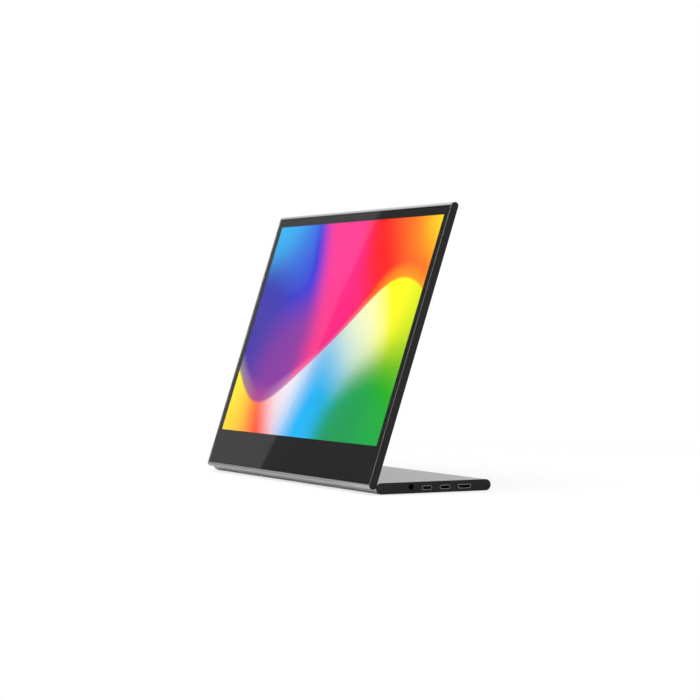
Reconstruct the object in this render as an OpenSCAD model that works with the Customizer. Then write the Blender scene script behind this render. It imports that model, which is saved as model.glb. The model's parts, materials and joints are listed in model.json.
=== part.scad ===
// Portable monitor: a thin display hinged along the front edge of a shallow base that holds
// the electronics. The display leans back over the base, and folds down flat on top of it.
//
// Two local frames are used, both with their origin on the hinge axis and X along it:
//   base frame     Y runs back from the axis, Z is up, the slab lies between -base_r and base_r
//   display frame  Y runs up the display, Z points out of the screen, drawn as when folded shut
// in_base() and in_display() carry them to the row frame.

/* [Screen] */
// Width of the lit area
active_w = 344.2; // [280:0.1:420]
// Height of the lit area
active_h = 193.6; // [160:0.1:260]
// Black border left and right of the lit area
side_border = 8.3; // [7:0.1:20]
// Black border above the lit area
top_border = 7.8; // [7:0.1:20]
// Black border below the lit area
chin = 31.6; // [31:0.2:50]
// Thickness of the display
display_t = 6; // [6:0.1:10]
// Thickness of the cover glass
glass_t = 0.8; // [0.5:0.1:0.8]

/* [Base] */
// Depth of the base, front edge to rear edge
base_d = 100.5; // [98:0.5:160]
// Thickness of the base
base_t = 9; // [8.6:0.2:12]
// Height of the rubber feet below the base
foot_h = 0.6; // [0.4:0.1:2]

/* [Walls] */
// Wall of both aluminium shells
wall = 1; // [0.8:0.1:1.2]
// Metal rim that shows beside the glass
rim_t = 0.5; // [0.4:0.1:1]
// Outer thickness of the black end caps
cap_t = 1; // [0.8:0.1:2]
// How far the base caps plug into the shell
plug_l = 3; // [2:0.5:3.5]
// Clearance between pieces that seat in each other
fit_gap = 0.1; // [0.05:0.05:0.2]

/* [Hinge] */
// Angle between the base and the back of the display
open_angle = 71.5; // [0:0.5:90]
// Distance of each hinge from the middle
hinge_x = 98.5; // [82:0.5:120]
// Width of a hinge block
hinge_w = 19; // [17:0.5:30]
// Gap between the display and the base where their round edges pass
hinge_gap = 0.3; // [0.2:0.05:0.6]
// Radius of the hinge pins
pin_r = 1.25; // [1:0.05:1.5]
// Radial running clearance of a pin in its bracket
pin_run = 0.05; // [0.02:0.01:0.08]

/* [Sockets] */
// Distance of the audio jack behind the hinge axis
jack_y = 25.5; // [25:0.1:30]
// Height of the audio jack above the middle of the base
jack_z = 0.7; // [0.4:0.1:0.8]
// Distance of the front data socket behind the hinge axis
front_socket_y = 39.3; // [38:0.1:44]
// Distance of the rear data socket behind the hinge axis
rear_socket_y = 55.2; // [54:0.1:57]
// Distance of the video socket behind the hinge axis
video_socket_y = 72.5; // [72.4:0.1:73]
// Height of the data sockets above the middle of the base
socket_z = -0.4; // [-0.4:0.1:0.2]
// Bore of the audio jack
jack_bore_d = 3.6; // [3.5:0.05:3.8]
// Depth of the audio jack's bore
jack_depth = 14; // [12:0.5:15]

/* [Keys] */
// Distance of the power key behind the hinge axis
power_key_y = 26; // [22:0.5:30]
// Distance of the first menu key behind the hinge axis
menu_key_y = 44; // [40:0.5:50]
// Spacing of the two menu keys
menu_key_pitch = 12; // [10:0.5:16]
// Length of a menu key
key_l = 8; // [6:0.5:9]
// Height of a key
key_h = 2.4; // [2:0.1:2.6]
// How far a key travels when pressed
key_travel = 0.4; // [0.2:0.1:0.5]

/* [Hidden] */
$fn = 64;
eps = 0.01;

// ---- overall sizes
base_r = base_t / 2;
display_r = display_t / 2;
edge_gap = fit_gap;                                  // glass to the rim around it
glass_w = active_w + 2 * side_border;
face_h = chin + active_h + top_border;               // flat face between the round edges
inner_half = glass_w / 2 + edge_gap;                 // inner face of the shell's side walls
shell_half = inner_half + rim_t;
half_w = shell_half + cap_t;
base_rear = base_d - base_r;
display_back = base_r + hinge_gap;
display_mid = display_back + display_r;

// ---- place in the row frame: centred on the bounding box, feet on Z = 0
front_reach = max(base_r, display_mid * sin(open_angle) + display_r);
top_reach = face_h * cos(open_angle) - display_mid * sin(open_angle) + display_r;
rear_reach = max(base_rear, top_reach);
hinge_y = (front_reach - rear_reach) / 2;
hinge_z = base_r + foot_h;
end_chamfer = 0.3;                                   // round the outer face of each end cap

// ---- bottom cover of the base
flat_rear = base_rear - base_r;                      // where the round rear edge begins
cover_front = 8;
cover_rear = flat_rear - 3.7;
ledge_w = 6.4;                                       // shelf inside the shell that carries the cover
ledge_t = 1.2;
cover_screw_inset = 2;
cover_screw_x = [-(shell_half - 12), 0, shell_half - 12];
screw_r = 0.8;
screw_head_r = 1.5;
foot_w = 6;
foot_recess = 0.4;
foot_inset = 5.4;                                    // edge of a foot from the edge of the cover
foot_half = shell_half - 30;

// ---- display stack, as heights above the back face
tape_t = 0.2;
mask_t = 0.15;
glass_back = display_t - glass_t;
mask_back = glass_back - mask_t;
ledge_top = mask_back - tape_t;
rail_w = 1.6;
rail_inset = 1;
pad_t = 0.3;
tray_t = 0.3;
reflector_t = 0.2;
films_t = 0.5;
cell_t = 1.4;
layer_gap = 0.02;                                    // between the loose layers of the panel
tray_floor = wall + pad_t + layer_gap;
reflector_back = tray_floor + tray_t + layer_gap;
guide_back = reflector_back + reflector_t + layer_gap;
cell_back = ledge_top - cell_t - 0.05;
films_back = cell_back - 0.2 - films_t;
guide_t = films_back - layer_gap - guide_back;
timing_front = 10;
timing_rear = 22;

// ---- hinge
leaf_t = 1.2;
leaf_lift = 0.6;                                     // pad between the shell's back and the leaf
leaf_back = wall + leaf_lift;
leaf_end = 24;
block_depth = 3;                                     // how far the block's body reaches up the display
neck_w = 5.2;
hinge_in = hinge_x - hinge_w / 2;                    // face of the block nearer the middle
hinge_out = hinge_x + hinge_w / 2;
side_gap = 0.15;                                     // block to the display shell
barrel_gap = 0.3;                                    // block to the base shell
pin_seat = hinge_in + 10;                            // how deep the pin sits in the block
ear_r = base_r - wall - 0.3;
ear_w = 3;
ear_1 = hinge_in - 0.5 - ear_w;                      // low-X faces of the two ears
ear_2 = ear_1 - 7.1 - ear_w;
disc_count = 8;
disc_t = 0.7;
disc_pitch = 0.86;
nut_t = 2;
nut_x = ear_2 - 0.2 - nut_t;
pin_end = nut_x - 0.6;
bracket_t = 1;
bracket_d = 22;
leaf_holes = [for (x = [-7, 7], y = [10, 19]) [x, y]];

// ---- inside of the base, as heights in the base frame
chassis_t = 0.7;
roof = base_r - wall;
chassis_under = roof - chassis_t;
data_w = 8.94;
data_h = 3.26;
data_l = 8.6;
video_w = 11.2;
video_h = 3.2;
video_l = 9;
metal_t = 0.3;
socket_end_t = 1.2;                                  // closed end of a socket
board_t = 0.8;
board_top = socket_z - data_h / 2;                   // the sockets stand on the board
video_z = board_top + video_h / 2;
board_screw_head = min(0.5, roof + board_top - board_t - 0.07);
board_inset = plug_l + 0.6;                          // board edge from the shell's end
board_end = shell_half - board_inset;
board_start = board_end - 104;
board_front = 16;
board_rear = 79.4;
key_board_w = 16;
key_board_front = 19;
key_board_rear = 66;
post_r = 1.9;
board_posts = [[board_start + 4, bracket_d + 4], [board_end - 4, board_front + 4],
               [board_start + 4, board_rear - 4], [board_end - 4, 64.5]];
key_posts = [[-board_end + key_board_w - 3, key_board_front + 3],
             [-board_end + key_board_w - 3, key_board_rear - 3]];
jack_barrel_r = jack_bore_d / 2 + 0.5;
jack_body_w = 6;
jack_body_x = half_w - jack_depth - 2;

// ---- keys
menu_keys_y = [menu_key_y, menu_key_y + menu_key_pitch];
power_key_l = 6;
key_gap = 0.1;
flange_t = 0.6;
flange_out = 0.5;
flange_x = -half_w + cap_t + key_gap;                // outer face of a key's flange
plunger_r = 0.7;
plunger_l = 1.2;
plunger_gap = 0.05;
switch_x = flange_x + flange_t + key_travel + 0.1;
switch_l = 6;
switch_w = 4.5;
switch_top = 1.3;
led_y = power_key_y + 9;
led_r = 0.6;

// ---- cables
cable_r = 0.8;
cable_bend = 2.8;
cable_sides = 10;
cable_split = hinge_out + 1;                         // the two lengths meet here, on the axis
cable_drop_x = hinge_in + 13.5;
cable_z = display_back + leaf_back + leaf_t + cable_r + 0.1;
cable_turn_x = cable_split + 6;
cable_plug_y = 19;
timing_end = 60;
timing_start = 4 - hinge_in;
flex_w = 22;
flex_pitch = (timing_end - timing_start) / 4;
ribbon_t = 0.2;
ribbon_w = 6;
ribbon_y = 43;

silver = [0.74, 0.74, 0.75];
black_plastic = [0.13, 0.13, 0.135];
steel = [0.62, 0.63, 0.65];
board_green = [0.05, 0.30, 0.18];

// ======== frames and profiles

module in_base() translate([0, hinge_y, hinge_z]) children();

module in_display() translate([0, hinge_y, hinge_z]) rotate([open_angle, 0, 0]) children();

// A piece of the right side, or its mirror image on the left.
module on_side(side) mirror([side < 0 ? 1 : 0, 0, 0]) children();

// A section drawn in Y and Z, extruded from x0 to x1.
module span_x(x0, x1) translate([x0, 0, 0]) rotate([90, 0, 90]) linear_extrude(x1 - x0) children();

// A box given by its lowest and highest corners.
module block(low, high) translate(low) cube(high - low);

// A slot outline of full length l and width w, lying along the first axis.
module slot_2d(l, w) {
    for (s = [-1, 1]) translate([s * (l - w) / 2, 0]) circle(w / 2);
    square([l - w, w], center = true);
}

// Section of a slab with round edges: a flat of length l between two circles of radius r.
module slab_2d(l, r) {
    for (y = [0, l]) translate([y, 0]) circle(r);
    translate([0, -r]) square([l, 2 * r]);
}

module display_profile(inset) translate([0, display_mid]) slab_2d(face_h, display_r - inset);

module base_profile(inset) slab_2d(flat_rear, base_r - inset);

// Plate of an end cap, from the end of a shell outwards, with the shell's section and a
// chamfer round its outer face.
module end_plate(l, r) {
    flat = cap_t - end_chamfer;
    translate([shell_half, 0, 0]) rotate([0, 90, 0]) {
        for (y = [0, l]) translate([0, y, 0]) {
            cylinder(r = r, h = flat);
            translate([0, 0, flat]) cylinder(r1 = r, r2 = r - end_chamfer, h = end_chamfer);
        }
        translate([0, l, 0]) rotate([90, 0, 0]) linear_extrude(l)
            polygon([[-r, 0], [r, 0], [r, flat], [r - end_chamfer, cap_t],
                     [-r + end_chamfer, cap_t], [-r, flat]]);
    }
}

// A countersunk screw, head down at z = 0.
module flat_screw(length) {
    cylinder(r1 = screw_head_r, r2 = screw_r, h = 0.7);
    cylinder(r = screw_r, h = length);
}

// A pan-head screw, seated at z = 0 with its shank pointing down.
module pan_screw(length, head_h = 0.5) {
    translate([0, 0, -length]) cylinder(r = screw_r, h = length);
    cylinder(r = 1.6, h = head_h);
}

// ======== base

module cover_screw_places() {
    for (x = cover_screw_x, y = [cover_front + cover_screw_inset, cover_rear - cover_screw_inset])
        translate([x, y, -base_r]) children();
}

module base_shell() {
    ledge_half = shell_half - plug_l - 0.2;
    color(silver) in_base() difference() {
        union() {
            span_x(-shell_half, shell_half) difference() {
                base_profile(0);
                base_profile(wall);
                translate([cover_front, -base_t]) square([cover_rear - cover_front, base_t]);
            }
            for (y = [cover_front - 2.4, cover_rear + 2.4 - ledge_w])
                block([-ledge_half, y, -roof], [ledge_half, y + ledge_w, -roof + ledge_t]);
        }
        cover_screw_places() cylinder(r = screw_r + 0.05, h = base_r);
        for (side = [-1, 1]) on_side(side)
            block([hinge_in - barrel_gap, -base_r - 1, -base_r - 1],
                  [hinge_out + barrel_gap, base_r + barrel_gap, base_r + 1]);
    }
}

module foot_places() {
    for (y = [cover_front + foot_inset, cover_rear - foot_inset - foot_w])
        translate([0, y + foot_w / 2, -base_r]) children();
}

module base_bottom_cover() {
    color(silver) in_base() difference() {
        block([-shell_half + fit_gap, cover_front + fit_gap, -base_r],
              [shell_half - fit_gap, cover_rear - fit_gap, -roof]);
        cover_screw_places() {
            translate([0, 0, -eps]) cylinder(r1 = screw_head_r + 0.06, r2 = screw_r + 0.06, h = 0.7 + eps);
            cylinder(r = screw_r + 0.06, h = base_r);
        }
        foot_places() translate([0, 0, -eps])
            linear_extrude(foot_recess + eps) slot_2d(2 * foot_half + 0.1, foot_w + 0.1);
    }
}

module rubber_feet() {
    color([0.09, 0.09, 0.09]) in_base() foot_places() translate([0, 0, -foot_h])
        linear_extrude(foot_h + foot_recess) slot_2d(2 * foot_half, foot_w);
}

module cover_screws() {
    color(steel) in_base() cover_screw_places() flat_screw(wall + ledge_t - 0.1);
}

// Outline of a base cap: the outer plate, and the ring that plugs into the shell.
module base_cap_blank() {
    end_plate(flat_rear, base_r);
    span_x(shell_half - plug_l, shell_half) difference() {
        base_profile(wall + fit_gap);
        base_profile(wall + fit_gap + 0.8);
    }
}

// A way through the right cap for a socket, centred at distance y and height z.
module socket_way(y, z) translate([0, y, z]) span_x(shell_half - plug_l - 1, half_w + 1) children();

module base_cap_right() {
    color(black_plastic) in_base() difference() {
        base_cap_blank();
        socket_way(jack_y, jack_z) circle(jack_barrel_r + fit_gap);
        for (y = [front_socket_y, rear_socket_y])
            socket_way(y, socket_z) slot_2d(data_w + 2 * fit_gap, data_h + 2 * fit_gap);
        socket_way(video_socket_y, video_z) video_outline(fit_gap);
    }
}

module base_cap_left() {
    color(black_plastic) in_base() difference() {
        mirror([1, 0, 0]) base_cap_blank();
        translate([-half_w - 1, power_key_y, 0]) key_bar(power_key_l, key_gap, cap_t + 2);
        for (y = menu_keys_y) translate([-half_w - 1, y, 0]) key_bar(key_l, key_gap, cap_t + 2);
        translate([-half_w - 1, led_y, 0]) rotate([0, 90, 0]) cylinder(r = led_r + 0.05, h = cap_t + 2);
    }
}

// Stamped steel plate under the roof of the base. It carries the hinges and both boards.
module base_chassis() {
    half = board_end - 1;
    window = [44, 28];
    color(steel) in_base() difference() {
        union() {
            difference() {
                block([-half, base_r + 1.5, chassis_under], [half, board_rear - 4, roof]);
                for (x = [-1.5, -0.5, 0.5, 1.5])
                    translate([x * (window[0] + 8) - window[0] / 2, bracket_d + 8, chassis_under - 1])
                        cube([window[0], window[1], chassis_t + 2]);
            }
            for (p = concat(board_posts, key_posts))
                translate([p[0], p[1], board_top]) cylinder(r = post_r, h = chassis_under - board_top + eps);
        }
        for (p = concat(board_posts, key_posts))
            translate([p[0], p[1], board_top - eps]) cylinder(r = screw_r + 0.05, h = 3);
        for (side = [-1, 1]) on_side(side) bracket_screw_places()
            cylinder(r = screw_r + 0.05, h = base_r);
        // room for the top of the audio jack
        translate([0, jack_y, 0]) block([jack_body_x - fit_gap, -jack_body_w / 2 - fit_gap, 0],
                                        [half_w, jack_body_w / 2 + fit_gap, base_t]);
    }
}

module main_board() {
    color(board_green) in_base() difference() {
        block([board_start, board_front, board_top - board_t], [board_end, board_rear, board_top]);
        for (p = board_posts)
            translate([p[0], p[1], board_top - board_t - 1]) cylinder(r = screw_r + 0.15, h = board_t + 2);
    }
}

module board_chips() {
    // [x from the board's edge, y, length, width, height]
    chips = [[31, 59, 12, 12, 1.2], [56, 58, 9, 13, 1], [26, 34, 8, 8, 1.2], [50, 32, 6, 6, 1.4],
             [86, 62, 7, 7, 1.4], [86, 50, 5, 5, 1], [13.5, 47.5, 3, 3, 0.9], [12, 31.5, 3, 3, 0.9]];
    color([0.1, 0.1, 0.11]) in_base() {
        for (c = chips) translate([board_end - c[0] - c[2] / 2, c[1] - c[3] / 2, board_top])
            cube([c[2], c[3], c[4]]);
        for (i = [0 : 4]) translate([board_end - 62 - 4 * i, 70, board_top]) cylinder(r = 1.4, h = 1.8);
        // connector of the display cable, and of the key ribbon
        translate([cable_turn_x - 5, cable_plug_y, board_top]) cube([10, 4, cable_r + 0.6 - board_top]);
        translate([board_start + 8, ribbon_y - ribbon_w / 2 - 1, board_top]) cube([4, ribbon_w + 2, 0.9]);
    }
}

module board_shield() {
    x = board_end - 44;
    color(steel) in_base() difference() {
        block([x, 44, board_top], [x + 26, 74, board_top + 2]);
        block([x + 0.2, 44.2, board_top - 1], [x + 25.8, 73.8, board_top + 1.8]);
        for (i = [0 : 4], j = [0 : 4])
            translate([x + 5 + 4 * i, 51 + 4 * j, 0]) cylinder(r = 0.8, h = 2);
    }
}

module board_screws() {
    color(steel) in_base() for (p = concat(board_posts, key_posts))
        translate([p[0], p[1], board_top - board_t]) mirror([0, 0, 1]) pan_screw(2.6, board_screw_head);
}

// ======== sockets

// The jack's body stands on the board, and its round nose reaches out through the cap.
module audio_jack() {
    nose = shell_half - plug_l - 0.2;
    color([0.06, 0.06, 0.06]) in_base() translate([0, jack_y, 0]) difference() {
        union() {
            translate([nose - eps, 0, jack_z]) rotate([0, 90, 0])
                cylinder(r = jack_barrel_r, h = half_w - nose + eps);
            block([jack_body_x, -jack_body_w / 2, board_top],
                  [nose, jack_body_w / 2, jack_z + jack_barrel_r]);
        }
        translate([half_w - jack_depth, 0, jack_z]) rotate([0, 90, 0])
            cylinder(r = jack_bore_d / 2, h = jack_depth + 1);
    }
}

// Metal shell of a socket: a seamless tube of length l, closed at the back, on two bent legs
// that are soldered to the board. The children are its outline and the outline of its mouth.
module socket_shell(y, z, l, w) {
    leg = [board_end - 1.6, board_end - 0.4];
    color(steel) in_base() translate([0, y, z]) difference() {
        union() {
            span_x(half_w - l, half_w) children(0);
            for (s = [0, 1]) mirror([0, s, 0]) {
                block([leg[0], w / 2 - metal_t, board_top - z], [leg[1], w / 2 + metal_t, 0]);
                block([leg[0], w / 2, board_top - z], [leg[1], w / 2 + 1, board_top - z + metal_t]);
            }
        }
        span_x(half_w - l + socket_end_t, half_w + 1) children(1);
    }
}

module data_socket(y) socket_shell(y, socket_z, data_l, data_w) {
    slot_2d(data_w, data_h);
    slot_2d(data_w - 2 * metal_t, data_h - 2 * metal_t);
}

module data_tongue(y) {
    tongue = [6.7, 0.7];
    color([0.07, 0.07, 0.07]) in_base() translate([half_w - data_l + socket_end_t, y, socket_z]) {
        translate([0, -tongue[0] / 2, -tongue[1] / 2]) cube([data_l - 2, tongue[0], tongue[1]]);
        translate([0, -tongue[0] / 2, -0.9]) cube([2, tongue[0], 1.8]);
    }
}

// Outline of the video socket: flat on top, with its lower corners cut away.
module video_outline(grow) {
    w = video_w / 2 + grow;
    h = video_h / 2 + grow;
    cut = 1.3;
    polygon([[-w, h], [w, h], [w, -h + cut], [w - cut, -h], [-w + cut, -h], [-w, -h + cut]]);
}

module video_socket() socket_shell(video_socket_y, video_z, video_l, video_w) {
    video_outline(0);
    video_outline(-metal_t);
}

module video_tongue() {
    color([0.07, 0.07, 0.07]) in_base()
        translate([half_w - video_l + socket_end_t, video_socket_y - 4.2, video_z - 0.3])
            cube([video_l - 2.2, 8.4, 0.6]);
}

// ======== keys

// A bar with round ends, lying along X from the origin.
module key_bar(l, grow, depth) rotate([90, 0, 90])
    linear_extrude(depth) slot_2d(l + 2 * grow, key_h + 2 * grow);

module key(y, l) {
    color([0.2, 0.2, 0.21]) in_base() {
        translate([-half_w, y, 0]) key_bar(l, 0, flange_x + half_w + eps);
        translate([flange_x, y, 0]) key_bar(l, flange_out, flange_t);
    }
}

module plunger(y) {
    color([0.85, 0.84, 0.8]) in_base() translate([flange_x + flange_t, y, 0]) rotate([0, 90, 0])
        cylinder(r = plunger_r, h = plunger_l);
}

module key_board() {
    color(board_green) in_base() difference() {
        block([-board_end, key_board_front, board_top - board_t],
              [-board_end + key_board_w, key_board_rear, board_top]);
        for (p = key_posts) translate([p[0], p[1], board_top - board_t - 1])
            cylinder(r = screw_r + 0.15, h = board_t + 2);
    }
}

module key_switches() {
    color([0.75, 0.75, 0.76]) in_base() {
        for (y = concat([power_key_y], menu_keys_y)) difference() {
            block([switch_x, y - switch_w / 2, board_top],
                  [switch_x + switch_l, y + switch_w / 2, switch_top]);
            translate([switch_x - 1, y, 0]) rotate([0, 90, 0])
                cylinder(r = plunger_r + plunger_gap, h = 1 + plunger_l + 0.2);
        }
        translate([-board_end + 6, ribbon_y - ribbon_w / 2 - 1, board_top]) cube([4, ribbon_w + 2, 0.9]);
    }
}

module status_light() {
    color([0.92, 0.94, 0.92]) in_base() {
        translate([-half_w, led_y, 0]) rotate([0, 90, 0]) cylinder(r = led_r, h = board_inset + cap_t + 1);
        translate([-board_end + 1, led_y - 1, board_top]) cube([1.6, 2, led_r - board_top]);
    }
}

// ======== cables inside the object

function unit(v) = v / norm(v);

// The points of a path with each inner corner turned into an arc of radius r.
function arc_at(a, b, c, r, steps) =
    let (u = unit(a - b), w = unit(c - b), half = acos(u * w) / 2,
         centre = b + unit(u + w) * r / sin(half), start = b + u * r / tan(half),
         p = start - centre, q = -u * r)
    [for (i = [0 : steps]) let (t = i * (180 - 2 * half) / steps) centre + p * cos(t) + q * sin(t)];

function rounded(points, r, steps = 5) = let (n = len(points) - 1) concat(
    [points[0]],
    [for (i = [1 : n - 1]) each arc_at(points[i - 1], points[i], points[i + 1], r, steps)],
    [points[n]]);

function path_dir(path, i) = let (n = len(path) - 1)
    unit(path[min(i + 1, n)] - path[max(i - 1, 0)]);

// A direction square to d, carried along the path without twisting.
function carried(v, d) = unit(v - d * (v * d));

module tube(path, r, sides) {
    n = len(path) - 1;
    frames = [for (i = 0, v = carried([0.3, 0.2, 1], path_dir(path, 0)); i <= n;
                   i = i + 1, v = i <= n ? carried(v, path_dir(path, i)) : v) v];
    points = [for (i = [0 : n], k = [0 : sides - 1]) let (a = 360 * k / sides)
        path[i] + r * (frames[i] * cos(a) + cross(path_dir(path, i), frames[i]) * sin(a))];
    walls = [for (i = [0 : n - 1], k = [0 : sides - 1])
        let (a = i * sides + k, b = i * sides + (k + 1) % sides)
        each [[a, a + sides, b], [b, a + sides, b + sides]]];
    polyhedron(points, concat(walls, [[for (k = [0 : sides - 1]) k],
                                      [for (k = [sides - 1 : -1 : 0]) n * sides + k]]));
}

module display_cable() {
    color([0.12, 0.12, 0.14]) in_display() tube(rounded([
        [timing_end - 4 + 0.05, 15, cable_z], [cable_drop_x - 12, 15, cable_z], [cable_drop_x, 9, cable_z],
        [cable_drop_x, 0, cable_z], [cable_drop_x, 0, 0], [cable_split, 0, 0]], cable_bend),
        cable_r, cable_sides);
}

module base_cable() {
    color([0.12, 0.12, 0.14]) in_base() tube(rounded([
        [cable_split + 0.3, 0, 0], [cable_turn_x, 0, 0], [cable_turn_x, cable_plug_y - 0.05, 0]], cable_bend),
        cable_r, cable_sides);
}

// Flat ribbon between the two boards, held up against the chassis.
module key_ribbon() {
    low = board_top + 0.9;
    high = chassis_under - ribbon_t;
    left = -board_end + 6;
    right = board_start + 12;
    line = [[left, low], [left + 6, low], [left + 14, high],
            [right - 14, high], [right - 6, low], [right, low]];
    color([0.86, 0.82, 0.7]) in_base() translate([0, ribbon_y + ribbon_w / 2, 0]) rotate([90, 0, 0])
        linear_extrude(ribbon_w) polygon(concat(line,
            [for (i = [len(line) - 1 : -1 : 0]) line[i] + [0, ribbon_t]]));
}

// ======== hinges

module bracket_screw_places() {
    for (x = [hinge_in - 15, hinge_in - 5]) translate([x, bracket_d - 6, 0]) children();
}

module hinge_bracket(side) {
    top = chassis_under;
    color(steel) in_base() on_side(side) difference() {
        union() {
            for (x = [ear_1, ear_2]) {
                translate([x, 0, 0]) rotate([0, 90, 0]) cylinder(r = ear_r, h = ear_w);
                block([x, 0, -ear_r + 1.2], [x + ear_w, 10, top - bracket_t + eps]);
            }
            block([ear_2 - 3, ear_r + 0.2, top - bracket_t], [ear_1 + ear_w, bracket_d, top]);
        }
        translate([ear_2 - 1, 0, 0]) rotate([0, 90, 0]) cylinder(r = pin_r + pin_run, h = 30);
        bracket_screw_places() cylinder(r = screw_r + 0.15, h = base_r);
    }
}

module hinge_bracket_screws() {
    color(steel) in_base() for (side = [-1, 1]) on_side(side) bracket_screw_places()
        translate([0, 0, chassis_under - bracket_t]) mirror([0, 0, 1])
            pan_screw(bracket_t + chassis_t - 0.1, 0.6);
}

module hinge_pin(side) {
    color(steel) in_display() on_side(side) translate([pin_end, 0, 0]) rotate([0, 90, 0])
        cylinder(r = pin_r, h = pin_seat - pin_end);
}

module hinge_discs(side) {
    color([0.5, 0.47, 0.4]) in_display() on_side(side) for (i = [0 : disc_count - 1])
        translate([ear_2 + ear_w + 0.15 + i * disc_pitch, 0, 0]) rotate([0, 90, 0]) difference() {
            cylinder(r = ear_r - 0.1, h = disc_t);
            translate([0, 0, -1]) cylinder(r = pin_r + 0.02, h = disc_t + 2);
        }
}

module hinge_nut(side) {
    color(steel) in_display() on_side(side) translate([nut_x, 0, 0]) rotate([0, 90, 0]) difference() {
        cylinder(r = ear_r - 0.15, h = nut_t, $fn = 6);
        translate([0, 0, -1]) cylinder(r = pin_r + 0.02, h = nut_t + 2);
    }
}

// Aluminium block that fills a gap in the display's lower edge, necks down and wraps the axis.
// Its leaf lies inside the display.
module hinge_block(side) {
    z = display_back;
    color(silver) in_display() on_side(side) difference() {
        union() {
            span_x(hinge_in, hinge_out) {
                circle(base_r);
                translate([-neck_w / 2, 0]) square([neck_w, display_mid]);
                intersection() {
                    translate([0, display_mid]) circle(display_r);
                    translate([-display_t, 0]) square([display_t, 2 * display_mid]);
                }
                translate([0, z]) square([block_depth, ledge_top]);
            }
            block([hinge_in, block_depth - eps, z + leaf_back],
                  [hinge_out, leaf_end, z + leaf_back + leaf_t]);
        }
        translate([hinge_in - 1, 0, 0]) rotate([0, 90, 0])
            cylinder(r = pin_r + 0.02, h = pin_seat - hinge_in + 1);
        leaf_screw_places(0) cylinder(r = screw_r + 0.1, h = display_t);
        // way for the cable: in above the leaf, down the neck, out along the axis
        block([cable_drop_x - 1.3, -1.3, -1.3], [hinge_out - 1, 1.3, cable_z + 1.2]);
        block([cable_drop_x - 1.3, 0, z + 0.8], [hinge_out - 1, block_depth + 1, 2 * display_mid]);
        translate([cable_drop_x, 0, 0]) rotate([0, 90, 0]) cylinder(r = 1.3, h = hinge_w);
    }
}

module leaf_screw_places(height) {
    for (p = leaf_holes) translate([hinge_x + p[0], p[1], display_back + height]) children();
}

module hinge_leaf_screws() {
    color(steel) in_display() for (side = [-1, 1]) on_side(side)
        leaf_screw_places(leaf_back + leaf_t) pan_screw(leaf_t + leaf_lift + 0.4, 0.6);
}

// ======== display

cap_posts_y = [14, 80, 150, face_h - 14];
cap_post_r = 1;

module cap_post_places() {
    for (y = cap_posts_y) translate([0, y, display_mid]) children();
}

// Aluminium back: an extrusion with round edges and glass rails, closed by thin side walls
// whose front edges show beside the glass.
module display_shell() {
    z = display_back;
    color(silver) in_display() difference() {
        union() {
            span_x(-inner_half, inner_half) {
                difference() {
                    display_profile(0);
                    display_profile(wall);
                    translate([0, display_mid]) square([face_h, display_t]);
                }
                for (y = [rail_inset, face_h - rail_inset - rail_w])
                    translate([y, z + wall - eps]) square([rail_w, ledge_top - wall + eps]);
            }
            for (side = [-1, 1]) on_side(side) {
                span_x(inner_half, shell_half) display_profile(0);
                block([inner_half - 2.4, rail_inset, z + wall - eps],
                      [inner_half - 0.8, face_h - rail_inset, z + ledge_top]);
                block([hinge_in - 1, block_depth + side_gap, z + wall - eps],
                      [hinge_out + 1, leaf_end + 1, z + leaf_back]);
            }
        }
        for (side = [-1, 1]) on_side(side) {
            block([hinge_in - side_gap, -display_t, 0],
                  [hinge_out + side_gap, block_depth + side_gap, 2 * display_mid]);
            leaf_screw_places(0.5) cylinder(r = screw_r + 0.05, h = 3);
            cap_post_places() translate([inner_half - 4, 0, 0]) rotate([0, 90, 0])
                cylinder(r = cap_post_r + 0.05, h = 6);
        }
    }
}

// Black end cap: the chamfered plate, and posts that hold it.
module display_cap(side) {
    color(black_plastic) in_display() on_side(side) {
        translate([0, 0, display_mid]) end_plate(face_h, display_r);
        cap_post_places() translate([inner_half - 3, 0, 0]) rotate([0, 90, 0])
            cylinder(r = cap_post_r, h = rim_t + 3 + eps);
    }
}

// Section of the glass along one side: flat, with the front edges chamfered.
module glass_section(l) {
    c = 0.25;
    polygon([[0, 0], [l, 0], [l, glass_t - c], [l - c, glass_t], [c, glass_t], [0, glass_t - c]]);
}

module cover_glass() {
    h = face_h - 2 * edge_gap;
    color([0.05, 0.05, 0.06, 0.35]) in_display()
        translate([0, edge_gap, display_back + glass_back]) intersection() {
            span_x(-glass_w / 2, glass_w / 2) glass_section(h);
            translate([-glass_w / 2, h, 0]) rotate([90, 0, 0]) linear_extrude(h)
                glass_section(glass_w);
        }
}

// A frame between two rectangles, given as margins from the flat face and from the lit area.
module face_frame(back, t, outer, inner) {
    in_display() difference() {
        block([-glass_w / 2 + outer, edge_gap + outer, display_back + back],
              [glass_w / 2 - outer, face_h - edge_gap - outer, display_back + back + t - 0.01]);
        block([-active_w / 2 - inner, chin - inner, 0],
              [active_w / 2 + inner, chin + active_h + inner, 2 * display_mid]);
    }
}

module border_mask() color([0.03, 0.03, 0.035]) face_frame(mask_back, mask_t, 0.2, 0);

module glass_tape() {
    w = rail_inset + rail_w - edge_gap;
    side_w = 2.4 + edge_gap;
    color([0.02, 0.02, 0.02]) in_display() difference() {
        block([-glass_w / 2 + 0.9, rail_inset, display_back + ledge_top + 0.01],
              [glass_w / 2 - 0.9, face_h - rail_inset, display_back + mask_back - 0.01]);
        block([-glass_w / 2 + side_w, w, 0], [glass_w / 2 - side_w, face_h - w, 2 * display_mid]);
    }
}

// A layer of the panel: margins beyond the lit area, at the sides and top, and below.
module panel_layer(back, t, side, below) {
    block([-active_w / 2 - side, chin - below, display_back + back],
          [active_w / 2 + side, chin + active_h + side, display_back + back + t]);
}

module lcd_cell() color([0.3, 0.5, 0.8]) in_display() panel_layer(cell_back, cell_t, 1.6, 3.4);

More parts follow.
